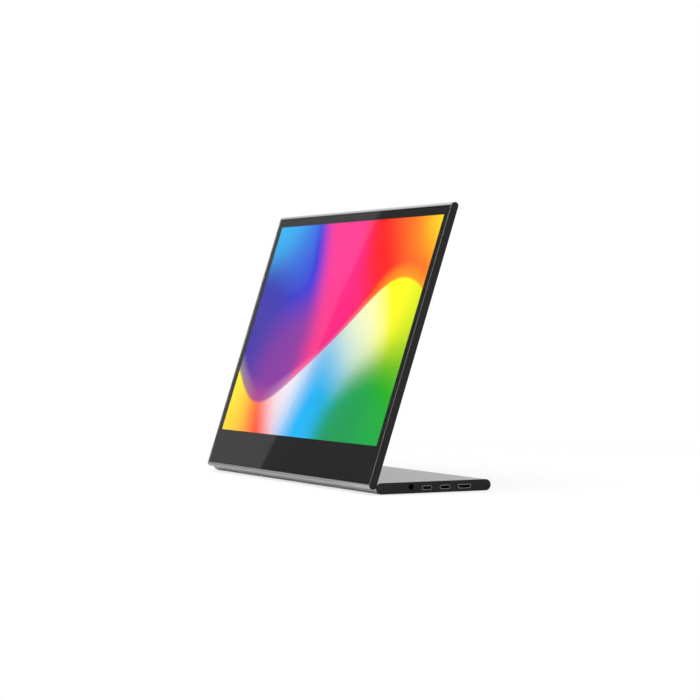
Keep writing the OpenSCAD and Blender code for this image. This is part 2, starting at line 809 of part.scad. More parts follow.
module backlight_films() color([0.93, 0.94, 0.95]) in_display() panel_layer(films_back, films_t, 1.2, 1.2);

module light_guide() color([0.8, 0.9, 0.92]) in_display() panel_layer(guide_back, guide_t, 1.2, 1.2);

module reflector_sheet() color([0.96, 0.96, 0.96]) in_display()
    panel_layer(reflector_back, reflector_t, 1.2, 3.4);

// Folded metal tray round the layers of the panel.
module panel_tray() {
    color(steel) in_display() difference() {
        panel_layer(tray_floor, cell_back - tray_floor - 0.3, 2.6, 4.4);
        panel_layer(reflector_back - layer_gap, cell_t + display_t, 2.2, 4);
    }
}

module panel_pads() {
    color([0.15, 0.15, 0.15]) in_display() for (y = [chin + 10, chin + active_h - 20], x = [-1, 1])
        block([x * active_w / 4 - 50, y, display_back + wall],
              [x * active_w / 4 + 50, y + 10, display_back + wall + pad_t]);
}

module led_strip() {
    z = display_back + guide_back;
    color([0.95, 0.9, 0.6]) in_display() {
        block([-active_w / 2, chin - 3.2, z], [active_w / 2, chin - 2.6, z + guide_t]);
        for (i = [-11 : 11]) translate([i * active_w / 23.5 - 1.5, chin - 2.6 - eps, z + 0.1])
            cube([3, 1.2, guide_t - 0.2]);
    }
}

module timing_board() {
    z = display_back + wall + pad_t;
    color(board_green) in_display() {
        block([timing_start, timing_front, z], [timing_end, timing_rear, z + board_t]);
        for (i = [1 : 3]) translate([timing_start + i * flex_pitch - 3.5, 12, z + board_t - eps])
            cube([7, 6, 1 + eps]);
        block([timing_end - 12, 12, z + board_t - eps], [timing_end - 4, 18, cable_z + cable_r]);
        for (x = [timing_start + 5, timing_end - 5]) translate([x, timing_rear - 4, display_back + wall])
            cylinder(r = 1.5, h = pad_t + eps);
    }
}

// Flexible films from the glass cell down to the timing board.
module source_flexes() {
    t = 0.15;
    low = display_back + wall + pad_t + board_t;
    high = display_back + cell_back;
    line = [[19, low], [timing_rear, low], [timing_rear + 2, high - t - 0.03], [chin - 1.6, high - t - 0.03]];
    color([0.72, 0.55, 0.25]) in_display() for (i = [0 : 3])
        let (x = timing_start + (i + 0.5) * flex_pitch) span_x(x - flex_w / 2, x + flex_w / 2)
            polygon(concat(line, [for (i = [len(line) - 1 : -1 : 0]) line[i] + [0, t]]));
}

// ======== nodes

base_shell();
base_bottom_cover();
base_cap_right();
base_cap_left();
rubber_feet();
cover_screws();
base_chassis();
main_board();
board_chips();
board_shield();
board_screws();
audio_jack();
data_socket(front_socket_y);  // data_socket_front
data_socket(rear_socket_y);  // data_socket_rear
video_socket();
data_tongue(front_socket_y);  // data_tongue_front
data_tongue(rear_socket_y);  // data_tongue_rear
video_tongue();
key_board();
key_switches();
status_light();
key_ribbon();
base_cable();
hinge_bracket(1);  // hinge_bracket_right
hinge_bracket(-1);  // hinge_bracket_left
hinge_bracket_screws();
display_shell();
display_cap(1);  // display_cap_right
display_cap(-1);  // display_cap_left
cover_glass();
border_mask();
glass_tape();
lcd_cell();
backlight_films();
light_guide();
reflector_sheet();
panel_tray();
panel_pads();
led_strip();
timing_board();
source_flexes();
display_cable();
hinge_block(1);  // hinge_block_right
hinge_block(-1);  // hinge_block_left
hinge_pin(1);  // hinge_pin_right
hinge_pin(-1);  // hinge_pin_left
hinge_discs(1);  // hinge_discs_right
hinge_discs(-1);  // hinge_discs_left
hinge_nut(1);  // hinge_nut_right
hinge_nut(-1);  // hinge_nut_left
hinge_leaf_screws();
key(power_key_y, power_key_l);  // power_key
key(menu_keys_y[0], key_l);  // menu_up_key
key(menu_keys_y[1], key_l);  // menu_down_key
plunger(power_key_y);  // power_plunger
plunger(menu_keys_y[0]);  // menu_up_plunger
plunger(menu_keys_y[1]);  // menu_down_plunger
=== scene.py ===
import json
import math

import bpy
import bmesh
from mathutils import Matrix, Vector


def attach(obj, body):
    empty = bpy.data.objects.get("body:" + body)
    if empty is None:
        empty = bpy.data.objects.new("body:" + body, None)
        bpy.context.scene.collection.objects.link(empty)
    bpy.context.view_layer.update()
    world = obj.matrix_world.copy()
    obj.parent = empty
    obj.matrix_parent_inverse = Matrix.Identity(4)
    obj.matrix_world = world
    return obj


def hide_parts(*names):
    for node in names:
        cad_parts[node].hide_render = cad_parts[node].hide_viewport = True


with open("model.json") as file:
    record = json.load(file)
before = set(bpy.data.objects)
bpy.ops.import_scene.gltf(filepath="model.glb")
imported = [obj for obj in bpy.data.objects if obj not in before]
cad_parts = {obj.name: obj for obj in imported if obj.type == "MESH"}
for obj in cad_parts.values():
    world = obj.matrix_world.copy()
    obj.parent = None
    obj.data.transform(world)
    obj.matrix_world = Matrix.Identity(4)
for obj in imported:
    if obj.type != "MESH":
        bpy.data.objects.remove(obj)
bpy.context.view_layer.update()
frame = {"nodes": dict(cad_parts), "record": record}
nodes = frame["nodes"]
record = frame["record"]
bodyOf = {node: body for body, members in record["behaviour"]["bodies"].items() for node in members}
slotOf = {part["node"]: part["material_slot"] for part in record["subparts"]}
mm = 0.001
print("frame loaded:", len(nodes), "nodes")

# the display's own directions at rest: up along it, and out of the screen
display = {"openAngle": 71.5, "litWidth": 344.2, "litHeight": 193.6, "chin": 31.6, "backToAxis": 4.8,
           "thickness": 6.0}
tilt = math.radians(display["openAngle"])
displayUp = Vector((0, math.cos(tilt), math.sin(tilt)))
displayOut = Vector((0, -math.sin(tilt), math.cos(tilt)))
hingeJoint = [j for j in record["behaviour"]["joints"] if j["name"] == "display_tilt"][0]
hinge = Vector(hingeJoint["pos_m"])
glassFront = hinge + displayOut * (display["backToAxis"] + display["thickness"]) * mm

camera = {"azimuth": 66.4446, "elevation": 0.9841, "roll": -0.5667, "distance": 2.1473,
          "focalPixels": 2614.9, "imageSize": 700, "target": (0.0908, -0.0292, 0.1133),
          "sensorWidth": 36, "nearClip": 0.05, "farClip": 60}


def cameraAxes():
    a, e, r = (math.radians(camera[k]) for k in ("azimuth", "elevation", "roll"))
    back = Vector((math.sin(a) * math.cos(e), -math.cos(a) * math.cos(e), math.sin(e)))
    right = Vector((0, 0, 1)).cross(back).normalized()
    up = back.cross(right)
    return (right * math.cos(r) + up * math.sin(r), up * math.cos(r) - right * math.sin(r), back)


def cameraPlace(back):
    return Vector(camera["target"]) + back * camera["distance"]


def makeCamera():
    right, up, back = cameraAxes()
    data = bpy.data.cameras.new("viewCamera")
    data.sensor_width = camera["sensorWidth"]
    data.lens = camera["focalPixels"] / camera["imageSize"] * data.sensor_width
    data.clip_start = camera["nearClip"]
    data.clip_end = camera["farClip"]
    eye = bpy.data.objects.new("viewCamera", data)
    bpy.context.collection.objects.link(eye)
    place = Matrix((right, up, back)).transposed().to_4x4()
    place.translation = cameraPlace(back)
    eye.matrix_world = place
    bpy.context.scene.camera = eye


makeCamera()
print("camera placed")


def newMaterial(name):
    material = bpy.data.materials.new(name)
    material.use_nodes = True
    return material, material.node_tree, material.node_tree.nodes["Principled BSDF"]


def addNode(tree, kind, inputs=None, **settings):
    made = tree.nodes.new(kind)
    for key, value in settings.items():
        setattr(made, key, value)
    for key, value in (inputs or {}).items():
        feed(tree, value, made.inputs[key])
    return made


def feed(tree, value, socket):
    if isinstance(value, bpy.types.NodeSocket):
        tree.links.new(value, socket)
    else:
        socket.default_value = value


def math2(tree, operation, a, b=0.0):
    return addNode(tree, "ShaderNodeMath", {0: a, 1: b}, operation=operation).outputs[0]


def add(tree, a, b):
    return math2(tree, "ADD", a, b)


def times(tree, a, b):
    return math2(tree, "MULTIPLY", a, b)


def larger(tree, a, b):
    return math2(tree, "MAXIMUM", a, b)


def vectors(tree, operation, a, b, output=0):
    return addNode(tree, "ShaderNodeVectorMath", {0: a, 1: b}, operation=operation).outputs[output]


def objectPoint(tree):
    return addNode(tree, "ShaderNodeTexCoord").outputs["Object"]


def noise(tree, scale, detail=2, roughness=0.5, stretch=(1, 1, 1)):
    placed = addNode(tree, "ShaderNodeMapping", {"Vector": objectPoint(tree), "Scale": stretch})
    made = addNode(tree, "ShaderNodeTexNoise", {"Vector": placed.outputs[0], "Scale": scale,
                                                "Detail": detail, "Roughness": roughness})
    return made.outputs["Fac"]


def ramp(tree, value, stops):
    made = addNode(tree, "ShaderNodeValToRGB", {"Fac": value})
    while len(made.color_ramp.elements) < len(stops):
        made.color_ramp.elements.new(0.5)
    for element, (position, color) in zip(made.color_ramp.elements, stops):
        element.position = position
        element.color = (*color, 1)
    return made.outputs["Color"]


def twoTones(tree, pattern, look, low=0.3, high=0.7):
    return ramp(tree, pattern, [(low, look["dark"]), (high, look["light"])])


def spread(tree, value, low, high):
    made = addNode(tree, "ShaderNodeMapRange", {"Value": value, "To Min": low, "To Max": high})
    return made.outputs["Result"]


def smoothStep(tree, value, low, high):
    return addNode(tree, "ShaderNodeMapRange", {"Value": value, "From Min": low, "From Max": high},
                   interpolation_type="SMOOTHSTEP").outputs["Result"]


def bump(tree, height, strength, distance):
    made = addNode(tree, "ShaderNodeBump", {"Height": height, "Strength": strength, "Distance": distance})
    return made.outputs[0]


def grey(value, warm=0.0):
    return (value * (1 + warm), value, value * (1 - warm))


def linear(*color):
    # a screen colour, from 0 to 255, as light
    return tuple(c / 255 / 12.92 if c <= 10 else ((c / 255 + 0.055) / 1.055) ** 2.4 for c in color)


def anodised(name, look):
    material, tree, shader = newMaterial(name)
    clouds = noise(tree, look["cloudScale"], detail=3)
    grain = noise(tree, look["grainScale"], roughness=0.6)
    feed(tree, twoTones(tree, clouds, look), shader.inputs["Base Color"])
    feed(tree, spread(tree, grain, look["smooth"], look["rough"]), shader.inputs["Roughness"])
    feed(tree, bump(tree, grain, look["grainDepth"], distance=0.02 * mm), shader.inputs["Normal"])
    shader.inputs["Metallic"].default_value = 1.0
    return material


def moulded(name, look):
    look = {"cloudScale": 40, "specular": 0.5, **look}
    material, tree, shader = newMaterial(name)
    grain = noise(tree, look["grainScale"], roughness=0.55)
    clouds = noise(tree, look["cloudScale"])
    feed(tree, twoTones(tree, clouds, look), shader.inputs["Base Color"])
    feed(tree, spread(tree, grain, look["smooth"], look["rough"]), shader.inputs["Roughness"])
    feed(tree, bump(tree, grain, look["grainDepth"], distance=0.03 * mm), shader.inputs["Normal"])
    shader.inputs["Specular IOR Level"].default_value = look["specular"]
    return material


def brushed(name, look):
    material, tree, shader = newMaterial(name)
    lines = noise(tree, look["lineScale"], detail=3, roughness=0.6, stretch=look["along"])
    feed(tree, twoTones(tree, lines, look, low=0.25, high=0.75), shader.inputs["Base Color"])
    feed(tree, spread(tree, lines, look["smooth"], look["rough"]), shader.inputs["Roughness"])
    feed(tree, bump(tree, lines, strength=0.12, distance=0.01 * mm), shader.inputs["Normal"])
    shader.inputs["Metallic"].default_value = 1.0
    return material


def depthShadedMetal(name, look):
    # painted shade: the metal darkens with depth from the mouth to near black deep inside, where the socket
    # is in shade; the light tone on the rim at the mouth is the metal's own
    material, tree, shader = newMaterial(name)
    depth = addNode(tree, "ShaderNodeSeparateXYZ", {0: objectPoint(tree)}).outputs["X"]
    # painted shade fade: 0 deep inside, 1 at the mouth
    shadeFade = addNode(tree, "ShaderNodeMapRange", {"Value": depth, "From Min": look["deep"] * mm,
                                               "From Max": look["mouth"] * mm}).outputs["Result"]
    grain = noise(tree, look["grainScale"])
    stops = [(0.0, grey(look["dark"])), (look["rimStart"], grey(look["wall"])), (1.0, grey(look["light"]))]
    feed(tree, ramp(tree, shadeFade, stops), shader.inputs["Base Color"])
    feed(tree, spread(tree, grain, look["smooth"], look["rough"]), shader.inputs["Roughness"])
    feed(tree, bump(tree, grain, strength=0.08, distance=0.01 * mm), shader.inputs["Normal"])
    shader.inputs["Metallic"].default_value = 1.0
    return material


def circuitBoard(name, look):
    material, tree, shader = newMaterial(name)
    cells = addNode(tree, "ShaderNodeTexBrick", {
        "Vector": objectPoint(tree), "Scale": look["traceScale"], "Color1": (*look["mask"], 1),
        "Color2": (*look["maskDark"], 1), "Mortar": (*look["trace"], 1), "Mortar Size": look["traceWidth"]})
    weave = noise(tree, look["weaveScale"])
    feed(tree, cells.outputs["Color"], shader.inputs["Base Color"])
    feed(tree, spread(tree, weave, look["smooth"], look["rough"]), shader.inputs["Roughness"])
    feed(tree, bump(tree, cells.outputs["Fac"], strength=0.3, distance=0.03 * mm), shader.inputs["Normal"])
    return material


def clearGlass(name, look):
    material, tree, shader = newMaterial(name)
    smear = noise(tree, look["smearScale"], detail=4, roughness=0.6)
    feed(tree, spread(tree, smear, look["smooth"], look["rough"]), shader.inputs["Roughness"])
    shader.inputs["Base Color"].default_value = (*look["tint"], 1)
    shader.inputs["IOR"].default_value = look["ior"]
    shader.inputs["Transmission Weight"].default_value = 1.0
    return material


# the picture on the screen: patches of colour above and below a folded edge, both bent by slow waves
picture = {
    "strength": 1.42,
    "softness": 26.0,
    "falloff": 2.718,
    "saturation": 1.12,
    "aspect": 1.78,
    "unlit": {"tone": 0.01, "roughness": 0.6, "specular": 0.1},
    "waveAcross": {"upTurn": 5.2, "acrossTurn": 2.4, "size": 0.045},
    "waveUp": {"upTurn": -2.0, "acrossTurn": 6.1, "size": 0.045 * 1.5},
    "fold": {"height": 0.44, "swing": 0.25, "turns": 0.80, "phase": 3.75, "sharp": 0.010, "soft": 0.10,
             "shift": -0.05, "firstShare": 0.75},
    "above": [  # place across, place up, weight, colour
        (0.02, 1.00, 1.0, (0, 175, 240)),
        (0.14, 0.80, 1.0, (10, 70, 215)),
        (0.04, 0.52, 1.0, (45, 25, 160)),
        (0.22, 0.44, 1.0, (125, 10, 150)),
        (0.40, 0.94, 1.2, (250, 10, 140)),
        (0.48, 0.62, 1.0, (250, 15, 125)),
        (0.66, 0.86, 1.1, (250, 12, 22)),
        (0.84, 0.98, 1.0, (255, 105, 5)),
        (1.00, 0.94, 1.1, (254, 235, 5)),
        (0.92, 0.72, 0.8, (255, 50, 25)),
    ],
    "below": [
        (0.02, 0.22, 1.2, (254, 246, 8)),
        (0.10, 0.02, 1.0, (255, 185, 5)),
        (0.26, 0.04, 1.0, (255, 50, 30)),
        (0.40, 0.20, 0.9, (250, 240, 242)),
        (0.50, 0.04, 1.1, (0, 180, 245)),
        (0.60, 0.26, 0.9, (0, 170, 235)),
        (0.70, 0.46, 0.9, (250, 250, 200)),
        (0.86, 0.60, 1.2, (254, 248, 8)),
        (1.00, 0.46, 1.0, (190, 225, 10)),
        (0.98, 0.20, 1.1, (0, 165, 60)),
        (0.78, 0.08, 1.1, (0, 150, 75)),
    ],
}


def screenPlace(tree):
    # across and up the lit area, each from 0 to 1
    fromCorner = vectors(tree, "SUBTRACT", objectPoint(tree), hinge + displayUp * display["chin"] * mm)
    across = addNode(tree, "ShaderNodeSeparateXYZ", {0: fromCorner}).outputs["X"]
    upwards = vectors(tree, "DOT_PRODUCT", fromCorner, displayUp, "Value")
    u = add(tree, times(tree, across, 1 / (display["litWidth"] * mm)), 0.5)
    return u, times(tree, upwards, 1 / (display["litHeight"] * mm))


def slowWave(tree, u, v, wave):
    # the shift that one wave gives
    turn = add(tree, times(tree, v, wave["upTurn"]), times(tree, u, wave["acrossTurn"]))
    return times(tree, math2(tree, "SINE", turn), wave["size"])


def blendedPatches(tree, u, v, patches, look):
    # the patches' colours, each the stronger the nearer it is
    place = addNode(tree, "ShaderNodeCombineXYZ", {0: times(tree, u, look["aspect"]), 1: v}).outputs[0]
    total, weights = None, None
    for x, y, weight, color in patches:
        reach = vectors(tree, "DISTANCE", place, (x * look["aspect"], y, 0), "Value")
        fall = times(tree, times(tree, reach, reach), -look["softness"])
        amount = times(tree, math2(tree, "POWER", look["falloff"], fall), weight)
        tint = addNode(tree, "ShaderNodeVectorMath", {0: linear(*color), "Scale": amount},
                       operation="SCALE").outputs[0]
        total = tint if total is None else vectors(tree, "ADD", total, tint)
        weights = amount if weights is None else add(tree, weights, amount)
    shares = addNode(tree, "ShaderNodeCombineXYZ", {0: weights, 1: weights, 2: weights}).outputs[0]
    return vectors(tree, "DIVIDE", total, shares)


def litPicture(name, look):
    material, tree, shader = newMaterial(name)
    flatU, flatV = screenPlace(tree)
    u = add(tree, flatU, slowWave(tree, flatU, flatV, look["waveAcross"]))
    v = add(tree, flatV, slowWave(tree, flatU, flatV, look["waveUp"]))

    # the folded edge: sharp below, with the upper colours fading in over a soft band behind it
    fold = look["fold"]
    crest = math2(tree, "SINE", add(tree, times(tree, u, fold["turns"] * 2 * math.pi), fold["phase"]))
    level = math2(tree, "SUBTRACT", v, add(tree, times(tree, crest, fold["swing"]), fold["height"]))
    past = smoothStep(tree, level, -fold["sharp"], fold["sharp"])
    behind = smoothStep(tree, level, 0.0, fold["soft"])
    shifted = add(tree, u, times(tree, behind, fold["shift"]))
    above = blendedPatches(tree, shifted, v, look["above"], look)
    below = blendedPatches(tree, u, v, look["below"], look)
    fade = add(tree, times(tree, behind, 1 - fold["firstShare"]), fold["firstShare"])
    mixed = addNode(tree, "ShaderNodeMix", {"Factor": times(tree, past, fade), "A": below, "B": above},
                    data_type="VECTOR").outputs["Result"]
    deeper = addNode(tree, "ShaderNodeHueSaturation", {"Saturation": look["saturation"], "Color": mixed})
    feed(tree, deeper.outputs["Color"], shader.inputs["Emission Color"])
    shader.inputs["Emission Strength"].default_value = look["strength"]
    shader.inputs["Base Color"].default_value = (*grey(look["unlit"]["tone"]), 1)
    shader.inputs["Roughness"].default_value = look["unlit"]["roughness"]
    shader.inputs["Specular IOR Level"].default_value = look["unlit"]["specular"]
    return material


# the finish of each material slot
finishes = {
    "anodised_aluminium": anodised("anodisedSilver", {
        "cloudScale": 18, "grainScale": 5200, "dark": grey(0.565, 0.004), "light": grey(0.585, 0.004),
        "smooth": 0.34, "rough": 0.46, "grainDepth": 0.10}),
    "tray_aluminium": anodised("thinSheet", {
        "cloudScale": 30, "grainScale": 900, "dark": grey(0.6, 0.004), "light": grey(0.7, 0.004),
        "smooth": 0.25, "rough": 0.35, "grainDepth": 0.05}),
    "black_cap_plastic": moulded("satinBlackCap", {
        "grainScale": 4200, "dark": grey(0.0075), "light": grey(0.0095),
        "smooth": 0.38, "rough": 0.50, "grainDepth": 0.22, "specular": 0.24}),
    "key_plastic": moulded("keyPlastic", {
        "grainScale": 3800, "dark": grey(0.02), "light": grey(0.026),
        "smooth": 0.35, "rough": 0.48, "grainDepth": 0.2}),
    "foot_rubber": moulded("footRubber", {
        "grainScale": 2600, "dark": grey(0.018), "light": grey(0.028),
        "smooth": 0.7, "rough": 0.9, "grainDepth": 0.5, "specular": 0.3}),
    "plated_steel": brushed("platedSteel", {
        "lineScale": 900, "along": (1, 6, 6), "dark": grey(0.50, 0.01), "light": grey(0.62, 0.01),
        "smooth": 0.22, "rough": 0.34}),
    "spring_steel": brushed("springSteel", {
        "lineScale": 700, "along": (8, 1, 1), "dark": (0.36, 0.33, 0.28), "light": (0.46, 0.43, 0.37),
        "smooth": 0.25, "rough": 0.4}),
    "board_laminate": circuitBoard("boardLaminate", {
        "traceScale": 160, "traceWidth": 0.06, "weaveScale": 1500, "mask": (0.010, 0.075, 0.040),
        "maskDark": (0.008, 0.055, 0.030), "trace": (0.02, 0.13, 0.07), "smooth": 0.25, "rough": 0.4}),
    "component_plastic": moulded("componentPlastic", {
        "grainScale": 3000, "dark": grey(0.012), "light": grey(0.018),
        "smooth": 0.45, "rough": 0.6, "grainDepth": 0.2}),
    "switch_housing": moulded("switchHousing", {
        "grainScale": 2500, "dark": grey(0.42), "light": grey(0.5),
        "smooth": 0.4, "rough": 0.5, "grainDepth": 0.1}),
    "switch_plunger": moulded("switchPlunger", {
        "grainScale": 2500, "dark": (0.6, 0.58, 0.53), "light": (0.68, 0.66, 0.6),
        "smooth": 0.35, "rough": 0.45, "grainDepth": 0.1}),
    "light_pipe": moulded("lightPipe", {
        "grainScale": 1800, "dark": grey(0.62), "light": grey(0.72),
        "smooth": 0.15, "rough": 0.3, "grainDepth": 0.1}),
    "cable_jacket": moulded("cableJacket", {
        "grainScale": 2400, "dark": grey(0.014), "light": grey(0.024),
        "smooth": 0.5, "rough": 0.7, "grainDepth": 0.5}),
    "ribbon_film": moulded("ribbonFilm", {
        "grainScale": 900, "dark": (0.6, 0.53, 0.36), "light": (0.7, 0.62, 0.44),
        "smooth": 0.3, "rough": 0.4, "grainDepth": 0.05}),
    "flex_film": moulded("flexFilm", {
        "grainScale": 700, "dark": (0.42, 0.22, 0.05), "light": (0.55, 0.32, 0.09),
        "smooth": 0.2, "rough": 0.35, "grainDepth": 0.05}),
    "cover_glass": clearGlass("coverGlass", {
        "tint": (0.97, 0.975, 0.975), "smearScale": 14, "smooth": 0.0, "rough": 0.03, "ior": 1.5}),
    "black_ink": moulded("blackInk", {
        "grainScale": 1200, "dark": grey(0.0025), "light": grey(0.0035),
        "smooth": 0.5, "rough": 0.6, "grainDepth": 0.02, "specular": 0.1}),
    "tape": moulded("foamTape", {
        "grainScale": 1500, "dark": grey(0.01), "light": grey(0.02),
        "smooth": 0.8, "rough": 0.95, "grainDepth": 0.3}),
    "display_cell": litPicture("litPicture", picture),
    "diffuser_film": moulded("diffuserFilm", {
        "grainScale": 1500, "dark": grey(0.8), "light": grey(0.86),
        "smooth": 0.5, "rough": 0.65, "grainDepth": 0.05}),
    "light_guide_acrylic": moulded("lightGuide", {
        "grainScale": 500, "dark": (0.7, 0.78, 0.8), "light": (0.78, 0.85, 0.87),
        "smooth": 0.05, "rough": 0.15, "grainDepth": 0.05}),
    "reflector_film": moulded("reflectorFilm", {
        "grainScale": 1500, "dark": grey(0.84), "light": grey(0.9),
        "smooth": 0.4, "rough": 0.5, "grainDepth": 0.05}),
    "pad_foam": moulded("padFoam", {
        "grainScale": 1400, "dark": grey(0.03), "light": grey(0.05),
        "smooth": 0.85, "rough": 0.95, "grainDepth": 0.6}),
    "led_strip": moulded("lampStrip", {
        "grainScale": 800, "dark": (0.75, 0.7, 0.45), "light": (0.85, 0.8, 0.55),
        "smooth": 0.35, "rough": 0.5, "grainDepth": 0.1}),
}
# finishes for some nodes of a slot, and for added pieces
# black plastic of the socket tongues and the jack, darker than the caps' plastic: partly the plastic's own
# black, partly painted shade inside the sockets
finishes["insideBlackAndShade"] = moulded("insideBlackAndShade", {
    "grainScale": 3000, "dark": grey(0.0012), "light": grey(0.002),
    "smooth": 0.5, "rough": 0.65, "grainDepth": 0.1, "specular": 0.08})
finishes["contactGold"] = brushed("contactGold", {
    "lineScale": 1600, "along": (1, 6, 6), "dark": (0.62, 0.42, 0.12), "light": (0.78, 0.55, 0.20),
    "smooth": 0.22, "rough": 0.34})
finishes["screwSteel"] = brushed("screwSteel", {
    "lineScale": 1500, "along": (1, 1, 4), "dark": grey(0.34), "light": grey(0.46),
    "smooth": 0.24, "rough": 0.36})
# nickel socket shells, with painted shade darkening them towards the inside
finishes["socketNickelDepthShade"] = depthShadedMetal("socketNickelDepthShade", {
    "deep": 178.5, "mouth": 182.0, "rimStart": 0.85, "dark": 0.008, "wall": 0.0128, "light": 0.34,
    "grainScale": 2400, "smooth": 0.3, "rough": 0.42})
ownFinish = {
    "data_socket_front": "socketNickelDepthShade", "data_socket_rear": "socketNickelDepthShade", "video_socket": "socketNickelDepthShade",
    "data_tongue_front": "insideBlackAndShade", "data_tongue_rear": "insideBlackAndShade", "video_tongue": "insideBlackAndShade",
    "audio_jack": "insideBlackAndShade",
}
for name, node in nodes.items():
    node.data.materials.clear()
    node.data.materials.append(finishes[ownFinish.get(name, slotOf[name])])
print("finishes made:", len(finishes))


def newPiece(name, mesh, slot, body, replaced=(), finish=None):
    piece = bpy.data.objects.new(name, mesh)
    bpy.context.collection.objects.link(piece)
    mesh.materials.clear()
    mesh.materials.append(finishes[finish or slot])
    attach(piece, body)
    if replaced:
        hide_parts(*replaced)
    return piece


def meshFrom(bm, name):
    mesh = bpy.data.meshes.new(name)
    bm.to_mesh(mesh)
    bm.free()
    return mesh


# shells, caps and other rounded parts: the CAD form with one continuous surface over each round edge
roundedParts = {
    "displayShell": "display_shell",
    "displayCapRight": "display_cap_right",
    "displayCapLeft": "display_cap_left",
    "baseShell": "base_shell",
    "baseCapRight": "base_cap_right",
    "baseCapLeft": "base_cap_left",
    "bottomCover": "base_bottom_cover",
    "hingeBlockRight": "hinge_block_right",
    "hingeBlockLeft": "hinge_block_left",
    "rubberFeet": "rubber_feet",
    "powerKey": "power_key",
    "menuUpKey": "menu_up_key",
    "menuDownKey": "menu_down_key",
    "audioJack": "audio_jack",
    "dataSocketFront": "data_socket_front",
    "dataSocketRear": "data_socket_rear",
    "videoSocket": "video_socket",
    "statusLight": "status_light",
}
roundedLook = {"mergeWithin": 0.002, "flatAngle": 0.4, "sharpAngle": 38}


def shadeSmooth(bm):
    # smooth all over, apart from the sharp and the open edges
    sharp = math.radians(roundedLook["sharpAngle"])
    for face in bm.faces:
        face.smooth = True
    for edge in bm.edges:
        edge.smooth = len(edge.link_faces) == 2 and edge.calc_face_angle(0) < sharp


def smoothCopy(name, nodeName):
    bm = bmesh.new()
    bm.from_mesh(nodes[nodeName].data)
    bmesh.ops.remove_doubles(bm, verts=bm.verts, dist=roundedLook["mergeWithin"] * mm)
    bmesh.ops.dissolve_limit(bm, angle_limit=math.radians(roundedLook["flatAngle"]), verts=bm.verts,
                             edges=bm.edges, use_dissolve_boundaries=False, delimit=set())
    shadeSmooth(bm)
    piece = newPiece(name, meshFrom(bm, name), slotOf[nodeName], bodyOf[nodeName], [nodeName],
                     ownFinish.get(nodeName))
    shading = piece.modifiers.new("faceWeighted", "WEIGHTED_NORMAL")
    shading.keep_sharp = True


for pieceName, nodeName in roundedParts.items():
    smoothCopy(pieceName, nodeName)
print("rounded parts made:", len(roundedParts))


def fromHinge(bm):
    # from millimetres round the middle of the hinge axis to the frame's metres
    for vert in bm.verts:
        vert.co = vert.co * mm + Vector((0, hinge.y, hinge.z))


def boxInto(bm, low, high):
    for vert in bmesh.ops.create_cube(bm, size=1)["verts"]:
        vert.co = Vector([(low[i] + high[i]) / 2 + vert.co[i] * (high[i] - low[i]) for i in range(3)])


# gold contacts on both faces of each socket's tongue, in millimetres from the middle of the hinge axis
dataContacts = {"z": -0.4, "half": 0.35, "start": 177.0, "end": 181.0, "counts": (12, 12), "pitch": 0.5,
                "width": 0.26}
contacts = {
    "dataContactsFront": {**dataContacts, "y": 39.3, "tongue": "data_tongue_front"},
    "dataContactsRear": {**dataContacts, "y": 55.2, "tongue": "data_tongue_rear"},
    "videoContacts": {"y": 72.5, "z": -0.43, "half": 0.3, "start": 175.6, "end": 180.7, "counts": (10, 9),
                      "pitch": 0.8, "width": 0.36, "tongue": "video_tongue"},
}
contactHeight = {"proud": 0.02, "sunk": 0.01, "edge": 0.006}


def makeContacts(name, look):
    bm = bmesh.new()
    for face, count in zip((1, -1), look["counts"]):
        surface = look["z"] + face * look["half"]
        low, high = sorted((surface - face * contactHeight["sunk"], surface + face * contactHeight["proud"]))
        for i in range(count):
            left = look["y"] + (i - (count - 1) / 2) * look["pitch"] - look["width"] / 2
            boxInto(bm, (look["start"], left, low), (look["end"], left + look["width"], high))
    bmesh.ops.bevel(bm, geom=bm.edges[:], offset=contactHeight["edge"], offset_type="OFFSET",
                    affect="EDGES", segments=1, profile=0.5, material=-1)
    fromHinge(bm)
    newPiece(name, meshFrom(bm, name), "plated_steel", bodyOf[look["tongue"]], finish="contactGold")


for pieceName, look in contacts.items():
    makeContacts(pieceName, look)

# countersunk screws of the bottom cover, with a crossed recess, in millimetres from the middle of the
# hinge axis; a screw is made with its head down and its tip up
coverScrew = {"places": [(x, y) for x in (-169.0, 0.0, 169.0) for y in (10.0, 85.8)], "level": -4.5,
              "headRadius": 1.5, "headDepth": 0.7, "edge": 0.05, "edgeHeight": 0.025, "shankRadius": 0.8,
              "length": 2.1, "tip": 0.15, "sides": 40, "crossReach": 0.95, "crossHalf": 0.2,
              "crossDepth": 0.5, "crossTaper": 0.8}


def crossInto(bm, look):
    # the floor of the crossed recess, from a grid without its corners, and its walls out to the head's face
    reach, half, taper = look["crossReach"], look["crossHalf"], look["crossTaper"]
    cellsAcross = 3
    gridLines = (-reach, -half, half, reach)
    cells = bmesh.ops.create_grid(bm, x_segments=cellsAcross, y_segments=cellsAcross, size=1)["verts"]
    for vert in cells:
        column, row = (round((c + 1) / 2 * cellsAcross) for c in vert.co.xy)
        vert.co = Vector((gridLines[column], gridLines[row], 0))
    corners = []
    for face in {f for v in cells for f in v.link_faces}:
        middle = face.calc_center_median()
        if min(abs(middle.x), abs(middle.y)) > half:
            corners.append(face)
    bmesh.ops.delete(bm, geom=corners, context="FACES")
    cells = [v for v in cells if v.is_valid]
    bmesh.ops.translate(bm, verts=cells, vec=(0, 0, look["crossDepth"]))
    bmesh.ops.scale(bm, verts=cells, vec=(taper, taper, 1))
    walls = bmesh.ops.extrude_edge_only(bm, edges=[e for e in bm.edges if e.is_boundary])["geom"]
    mouth = [v for v in walls if isinstance(v, bmesh.types.BMVert)]
    bmesh.ops.translate(bm, verts=mouth, vec=(0, 0, -look["crossDepth"]))
    bmesh.ops.scale(bm, verts=mouth, vec=(1 / taper, 1 / taper, 1))
    return cells + mouth, [e for e in walls if isinstance(e, bmesh.types.BMEdge) and e.is_boundary]


